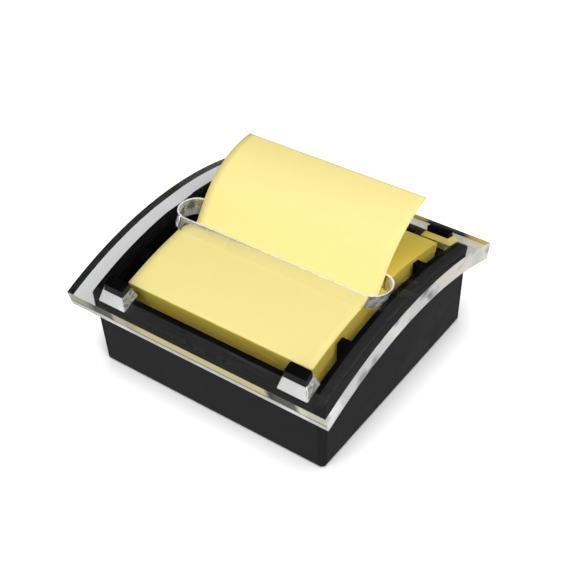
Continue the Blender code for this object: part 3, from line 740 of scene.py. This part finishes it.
# The front face has its painted glow of piped light above, then a dark line of painted shade and a white band
# of painted light below. The back face has its painted glow alone.
from_arch_axis = node(
    end_face,
    "ShaderNodeMapping",
    {"Vector": place_on_piece(end_face), "Location": (0.0, 0.0, -ARCH_CENTRE_Z), "Scale": (0.0, 1.0, 1.0)},
)
reach = node(end_face, "ShaderNodeVectorMath", {0: from_arch_axis.outputs["Vector"]}, operation="LENGTH")
height_share = spread(end_face, reach.outputs["Value"], UNDERSIDE_RADIUS, ARCH_RADIUS)
width_share = spread(end_face, along(end_face, place_on_piece(end_face), "X"), cover_low.x, cover_high.x)
mottle = spread(end_face, pattern(end_face, EDGE_MOTTLE_SIZE, detail=3.0), *EDGE_MOTTLE_RANGE)
white_band = between(end_face, mottle, EDGE_PAINTED_OFF_WHITE, EDGE_PAINTED_WHITE)
in_white_band = spread(end_face, height_share, *EDGE_WHITE_SHARE, 1.0, 0.0)
up_to_line = spread(end_face, height_share, *EDGE_SHADE_LINE_SHARE, 1.0, 0.0)
front_glow = between(end_face, up_to_line, glow_ramp(end_face, width_share, FRONT_GLOW), EDGE_SHADE_LINE)
front_glow = between(end_face, in_white_band, front_glow, white_band)
back_glow = glow_ramp(end_face, width_share, BACK_GLOW)
at_back = spread(end_face, along(end_face, place_on_piece(end_face), "Y"), 0.0, BACK_END_START)
tinted(end_face, between(end_face, at_back, front_glow, back_glow))

# Painted light and shade in the pockets: the front pockets' end walls are white and their side walls clouded
# with painted grey shade, and the back pockets are gold all over with painted yellow light.
in_back_pocket = spread(satin_cut, along(satin_cut, place_on_piece(satin_cut), "Y"), *POCKET_BACK_START)
wall_normal = node(satin_cut, "ShaderNodeNewGeometry").outputs["True Normal"]
wall_facing = maths(satin_cut, "ABSOLUTE", along(satin_cut, wall_normal, "X"))
on_side_wall = spread(satin_cut, wall_facing, *POCKET_SIDE_FACING)
shade_clouds = spread(satin_cut, pattern(satin_cut, POCKET_CLOUD_SIZE, detail=3.0), *POCKET_CLOUD_RANGE)
end_wall_colour = between(satin_cut, in_back_pocket, WHITE, POCKET_GLOW)
side_wall_colour = between(satin_cut, shade_clouds, POCKET_SHADE, POCKET_PALE)
side_wall_colour = between(satin_cut, in_back_pocket, side_wall_colour, end_wall_colour)
tinted(satin_cut, between(satin_cut, on_side_wall, end_wall_colour, side_wall_colour))

# The slot's round ends are streaked grey and pale: painted light and shade for what their curved walls show.
light_streaks = spread(slot_end, pattern(slot_end, STREAK_SIZE, detail=2.0), *STREAK_RANGE)
tinted(slot_end, between(slot_end, light_streaks, STREAK_SHADE_GREY, STREAK_LIGHT_PALE))

# The bent slab, before anything is cut out of it.
outer_half = math.asin(COVER_HALF_Y / ARCH_RADIUS)
inner_half = math.asin((COVER_HALF_Y - COVER_END_INSET) / UNDERSIDE_RADIUS)
slab_mesh = bmesh.new()
bmesh.ops.create_cube(slab_mesh, size=2.0)
lengthwise = [edge for edge in slab_mesh.edges if abs(edge.verts[0].co.y - edge.verts[1].co.y) > 1]
bmesh.ops.subdivide_edges(slab_mesh, edges=lengthwise, cuts=COVER_STEPS - 1, use_grid_fill=True)
for vert in slab_mesh.verts:
    outer = vert.co.z > 0
    angle = vert.co.y * (outer_half if outer else inner_half)
    radius = ARCH_RADIUS if outer else UNDERSIDE_RADIUS
    x = cover_high.x if vert.co.x > 0 else cover_low.x
    vert.co = (x, radius * math.sin(angle), ARCH_CENTRE_Z + radius * math.cos(angle))
slab = to_object(slab_mesh, "cover_slab", None)

# The slot's cutter, from below the cover to its flared rim, which follows the arch.
cutters = []
slot_mesh = bmesh.new()
bmesh.ops.create_circle(
    slot_mesh,
    cap_ends=True,
    segments=SLOT_ROUND_STEPS,
    radius=1.0,
    matrix=Matrix.Rotation(math.pi / SLOT_ROUND_STEPS, 4, "Z"),
)
spill = OVERRUN / COVER_THICKNESS
half_slot = PAD_SIDE / 2 + SLOT_SPARE_LENGTH
rim_share = SLOT_RIM_DEPTH / COVER_THICKNESS
rim_grow = SLOT_RIM_WIDTH * (rim_share + spill) / rim_share
outline = {vert: vert.co.copy() for vert in slot_mesh.verts}
slot_faces = slot_mesh.faces[:]
for share, grow in ((1 + spill, 0.0), (rim_share, 0.0), (-spill, rim_grow)):
    front = -SLOT_WIDTH / 2 - SLOT_FLARE * share - grow
    back = SLOT_WIDTH / 2 + grow
    end_radius = (back - front) / 2
    for vert, unit in outline.items():
        x = math.copysign(half_slot + grow - end_radius, unit.x) + end_radius * unit.x
        y = (front + back) / 2 + end_radius * unit.y
        top_z = cover_high.z if share > 1 else arch_height(y, ARCH_RADIUS)
        vert.co = (x, y, top_z - COVER_THICKNESS * share)
    if share > 0:
        units = {tuple(vert.co): unit for vert, unit in outline.items()}
        slot_faces = raised(slot_mesh, slot_faces, first=share > 1)
        outline = {vert: units[tuple(vert.co)] for face in slot_faces for vert in face.verts}
bmesh.ops.triangulate(slot_mesh, faces=slot_mesh.faces[:])
cutters.append(to_object(slot_mesh, "slot_cutter", None))

# The pockets' cutters, one over each post.
for corner, end in CORNERS.items():
    low, high = post_boxes[corner]
    middle_x = (low.x + high.x) / 2
    near = min(abs(low.y), abs(high.y)) + POST_LEAN - POST_CLEARANCE
    far = near + POST_DEPTH + 2 * POST_CLEARANCE
    block_ends = []
    for share, radius in ((1 + spill, UNDERSIDE_RADIUS - OVERRUN), (-spill, ARCH_RADIUS + OVERRUN)):
        half_width = POST_TOP_WIDTH / 2 + POST_CLEARANCE + POCKET_DRAFT_X * share
        inner_y = end * (near - POCKET_DRAFT_INNER * share)
        outer_y = end * (far + POCKET_DRAFT_OUTER * share)
        y_pair = sorted((inner_y, outer_y))
        block_ends.append((middle_x - half_width, middle_x + half_width, *y_pair, radius))
    pocket_mesh = tapered_block(*block_ends)
    round_off(pocket_mesh, upright_edges(pocket_mesh), POCKET_CORNER, POCKET_CORNER_STEPS)
    bmesh.ops.triangulate(pocket_mesh, faces=pocket_mesh.faces[:])
    cutters.append(to_object(pocket_mesh, f"pocket_cutter_{corner}", None))

for cutter in cutters:
    cut = slab.modifiers.new(cutter.name, "BOOLEAN")
    cut.operation = "DIFFERENCE"
    cut.solver = "EXACT"
    cut.object = cutter
cut_slab = slab.evaluated_get(bpy.context.evaluated_depsgraph_get())
cover_mesh = bmesh.new()
cover_mesh.from_mesh(cut_slab.to_mesh())
cut_slab.to_mesh_clear()
for spent in [slab, *cutters]:
    bpy.data.objects.remove(spent, do_unlink=True)
bmesh.ops.remove_doubles(cover_mesh, verts=cover_mesh.verts[:], dist=WELD)
bmesh.ops.dissolve_degenerate(cover_mesh, dist=WELD, edges=cover_mesh.edges[:])


def finish_of(face):
    """The finish that a face of the cut cover has, by its place and the way it faces."""
    middle = face.calc_center_median()
    radius = arch_radius_at(middle)
    on_slot_rim = abs(middle.y) < SLOT_WIDTH and SLOT_RIM_FACING[0] < face.normal.z < SLOT_RIM_FACING[1]
    if on_slot_rim and radius > ARCH_RADIUS - SLOT_RIM_WIDTH:
        return broken_edge
    if radius > ARCH_RADIUS - ON_FACE or radius < UNDERSIDE_RADIUS + ON_FACE:
        return polished
    if abs(middle.x) > cover_high.x - ON_FACE:
        return side_face
    if abs(middle.y) > COVER_HALF_Y - COVER_END_INSET - ON_FACE:
        return end_face
    if abs(middle.y) > SLOT_WIDTH + SLOT_FLARE:
        return satin_cut
    return slot_end if abs(middle.x) > half_slot - SLOT_WIDTH / 3 else polished


for face in cover_mesh.faces:
    face.material_index = cover_finishes.index(finish_of(face))
crisp = [
    edge
    for edge in cover_mesh.edges
    if edge.is_manifold and edge.calc_face_angle() > math.radians(CRISP_DEG)
]
for face in round_off(cover_mesh, crisp, COVER_EDGE):
    face.material_index = cover_finishes.index(broken_edge)
cover = to_object(cover_mesh, "acrylic_cover", None, sharp_deg=12.0)
for finish in cover_finishes:
    cover.data.materials.append(finish)
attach(cover, "cover")
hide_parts("clear_cover")

# Popped note
# The top sheet of thin paper. It lies on the pad under the cover, bends up through the slot against its back
# edge, and curls over behind it. It is one sheet.

PAPER = (0.950, 0.815, 0.325)
PAPER_DEEP = (0.925, 0.780, 0.285)
NOTE_RISE_DEG = 53
NOTE_BEND_RADIUS = 0.0020
NOTE_SLOT_GAP = 0.0004
NOTE_END_DEG = 4
NOTE_TWIST = 0.0016
NOTE_THICKNESS = 0.00016
NOTE_ROWS = 150
NOTE_COLUMNS = 24

rise = math.radians(NOTE_RISE_DEG)
end_slope = math.radians(NOTE_END_DEG)
sheet_radius = UNDERSIDE_RADIUS - PAPER_SLOT_GAP - SHEET_THICKNESS / 2
slot_y = SLOT_WIDTH / 2 - NOTE_SLOT_GAP
slot_z = arch_height(slot_y, ARCH_RADIUS)
bend_climb = NOTE_BEND_RADIUS * (1 - math.cos(rise))
start_z = arch_height(0, sheet_radius)
straight = (slot_z - start_z - bend_climb) / math.sin(rise)
start_y = slot_y - straight * math.cos(rise) - NOTE_BEND_RADIUS * math.sin(rise)
start_angle = math.asin(start_y / sheet_radius)
tail = sheet_radius * (start_angle - pad_front_angle)
bend = NOTE_BEND_RADIUS * rise
curl = PAD_SIDE - tail - bend - straight


def along_note(run):
    """The note's middle line at this run from its front edge: its Y and Z."""
    if run < tail:
        angle = pad_front_angle + run / sheet_radius
        return sheet_radius * math.sin(angle), ARCH_CENTRE_Z + sheet_radius * math.cos(angle)
    run -= tail
    if run < bend:
        angle = run / NOTE_BEND_RADIUS
        climb = NOTE_BEND_RADIUS * (1 - math.cos(angle))
        return start_y + NOTE_BEND_RADIUS * math.sin(angle), start_z + climb
    run -= bend
    if run < straight:
        back = straight - run
        return slot_y - back * math.cos(rise), slot_z - back * math.sin(rise)
    run -= straight
    slope_rate = (end_slope - rise) / curl
    slope = rise + slope_rate * run
    y = slot_y + (math.sin(slope) - math.sin(rise)) / slope_rate
    z = slot_z - (math.cos(slope) - math.cos(rise)) / slope_rate
    return y, z


note_mesh = bmesh.new()
bmesh.ops.create_grid(note_mesh, x_segments=NOTE_COLUMNS, y_segments=NOTE_ROWS, size=0.5)
for vert in note_mesh.verts:
    x = vert.co.x * PAD_SIDE
    run = (vert.co.y + 0.5) * PAD_SIDE
    y, z = along_note(run)
    curl_share = max(0.0, run - (PAD_SIDE - curl)) / curl
    twist = 2 * vert.co.x * NOTE_TWIST * curl_share**2
    vert.co = (x, y - twist, z + twist)
note = to_object(note_mesh, "popped_up_note", note_paper("note_paper", PAPER, PAPER_DEEP), sharp_deg=60.0)
thicken = note.modifiers.new("paper", "SOLIDIFY")
thicken.thickness = NOTE_THICKNESS
thicken.offset = 0.0
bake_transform(note)
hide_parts("sheet_tail", "popped_note")

# Table, light and camera
# A plain white table that keeps the object's shadow, and a soft sky with three softboxes: in front, above
# and on the right. The table's white lift for the camera fades near the object by its ambient occlusion,
# which paints a shadow halo round it. The sky is darker in reflections, most of all on the left. The
# camera is at the photograph's place.

TABLE_SIZE = 6.0
TABLE_WHITE = 0.80
TABLE_LIFT = 0.50
TABLE_IN_GLOSS = 0.32
SHADOW_HALO_REACH = 0.014
SHADOW_HALO_DEPTH = 2.0
HALO_SAMPLES = 12
SKY_LOW = 0.9
SKY_HIGH = 0.10
SKY_FADE = (0.10, 0.55)
SKY_IN_GLOSS = 0.1
SKY_THROUGH = 0.60
SKY_FLAG = (-0.32, 0.05)
# Each softbox's name, place, diameter and power in watts.
LAMPS = (
    ("key_softbox", (-0.10, -0.80, 0.88), 0.60, 4.1),
    ("overhead_softbox", (0.22, -0.10, 1.10), 0.70, 4.2),
    ("side_softbox", (0.72, -0.40, 0.85), 0.50, 5.0),
)
LAMP_AIM = Vector((0.0, 0.0, 0.02))
FOCAL_PIXELS = 1162.5
IMAGE_WIDTH = 576
SENSOR_WIDTH = 36.0
CAMERA_AIM = (-0.00105, 0.00418, 0.0200)
CAMERA_DISTANCE = 0.41185
CAMERA_TURN_DEG = 37.37
CAMERA_HEIGHT_DEG = 40.214
CAMERA_ROLL_DEG = -2.453

white_table, table_shader = new_material("white_table", (TABLE_WHITE,) * 3, roughness=0.9)
table_shader.inputs["Specular IOR Level"].default_value = 0.0
table_shader.inputs["Emission Color"].default_value = (*WHITE, 1.0)
table_rays = node(white_table, "ShaderNodeLightPath").outputs
# Painted shadow: the lift fades near the object by ambient occlusion.
open_air = node(white_table, "ShaderNodeAmbientOcclusion", {"Distance": SHADOW_HALO_REACH}, samples=HALO_SAMPLES)
shadow_halo = maths(white_table, "POWER", open_air.outputs["AO"], SHADOW_HALO_DEPTH)
halo_lift = maths(white_table, "MULTIPLY", shadow_halo, TABLE_LIFT)
lift = maths(white_table, "MULTIPLY", table_rays["Is Camera Ray"], halo_lift)
link(white_table, lift, table_shader.inputs["Emission Strength"])
not_through = maths(white_table, "SUBTRACT", 1.0, table_rays["Is Transmission Ray"])
mirrored = maths(white_table, "MULTIPLY", table_rays["Is Glossy Ray"], not_through)
table_colour = between(white_table, mirrored, (TABLE_WHITE,) * 3, (TABLE_IN_GLOSS,) * 3)
link(white_table, table_colour, table_shader.inputs["Base Color"])
table_mesh = bmesh.new()
bmesh.ops.create_grid(table_mesh, x_segments=1, y_segments=1, size=TABLE_SIZE / 2)
table = to_object(table_mesh, "table", white_table)

world = bpy.data.worlds.new("studio")
bpy.context.scene.world = world
world.use_nodes = True
direction = node(world, "ShaderNodeTexCoord").outputs["Generated"]
sky_rays = node(world, "ShaderNodeLightPath").outputs
flag = spread(world, along(world, direction, "X"), *SKY_FLAG)
fade = node(
    world,
    "ShaderNodeMapRange",
    {
        "Value": along(world, direction, "Z"),
        "From Min": SKY_FADE[0],
        "From Max": SKY_FADE[1],
        "To Min": SKY_LOW,
        "To Max": SKY_HIGH,
    },
    interpolation_type="SMOOTHSTEP",
)
gloss_sky = maths(world, "MULTIPLY", flag, SKY_IN_GLOSS)
gloss_share = spread(world, sky_rays["Is Glossy Ray"], 0.0, 1.0, 1.0, gloss_sky)
lit_sky = maths(world, "MULTIPLY", fade.outputs["Result"], gloss_share)
outside = maths(world, "SUBTRACT", 1.0, sky_rays["Is Transmission Ray"])
seen_outside = maths(world, "MULTIPLY", lit_sky, outside)
clear_sky = maths(world, "MULTIPLY", flag, SKY_THROUGH)
seen_through = maths(world, "MULTIPLY", sky_rays["Is Transmission Ray"], clear_sky)
seen = maths(world, "ADD", seen_outside, seen_through)
sky = world.node_tree.nodes["Background"]
sky.inputs["Color"].default_value = (*WHITE, 1.0)
link(world, maths(world, "MAXIMUM", seen, sky_rays["Is Camera Ray"]), sky.inputs["Strength"])

for lamp_name, lamp_place, diameter, watts in LAMPS:
    lamp_data = bpy.data.lights.new(lamp_name, "AREA")
    lamp_data.shape = "DISK"
    lamp_data.size = diameter
    lamp_data.energy = watts
    lamp = bpy.data.objects.new(lamp_name, lamp_data)
    bpy.context.scene.collection.objects.link(lamp)
    lamp.location = lamp_place
    lamp.rotation_euler = (LAMP_AIM - lamp.location).to_track_quat("-Z", "Y").to_euler()

camera_data = bpy.data.cameras.new("camera")
camera_data.sensor_width = SENSOR_WIDTH
camera_data.lens = FOCAL_PIXELS * SENSOR_WIDTH / IMAGE_WIDTH
camera = bpy.data.objects.new("camera", camera_data)
bpy.context.scene.collection.objects.link(camera)
turn = Matrix.Rotation(math.radians(CAMERA_TURN_DEG), 4, "Z")
tilt = Matrix.Rotation(math.radians(90 - CAMERA_HEIGHT_DEG), 4, "X")
roll = Matrix.Rotation(math.radians(CAMERA_ROLL_DEG), 4, "Z")
step_back = Matrix.Translation((0, 0, CAMERA_DISTANCE))
camera.matrix_world = Matrix.Translation(CAMERA_AIM) @ turn @ tilt @ roll @ step_back
bpy.context.scene.camera = camera
bpy.context.scene.view_settings.view_transform = "Standard"
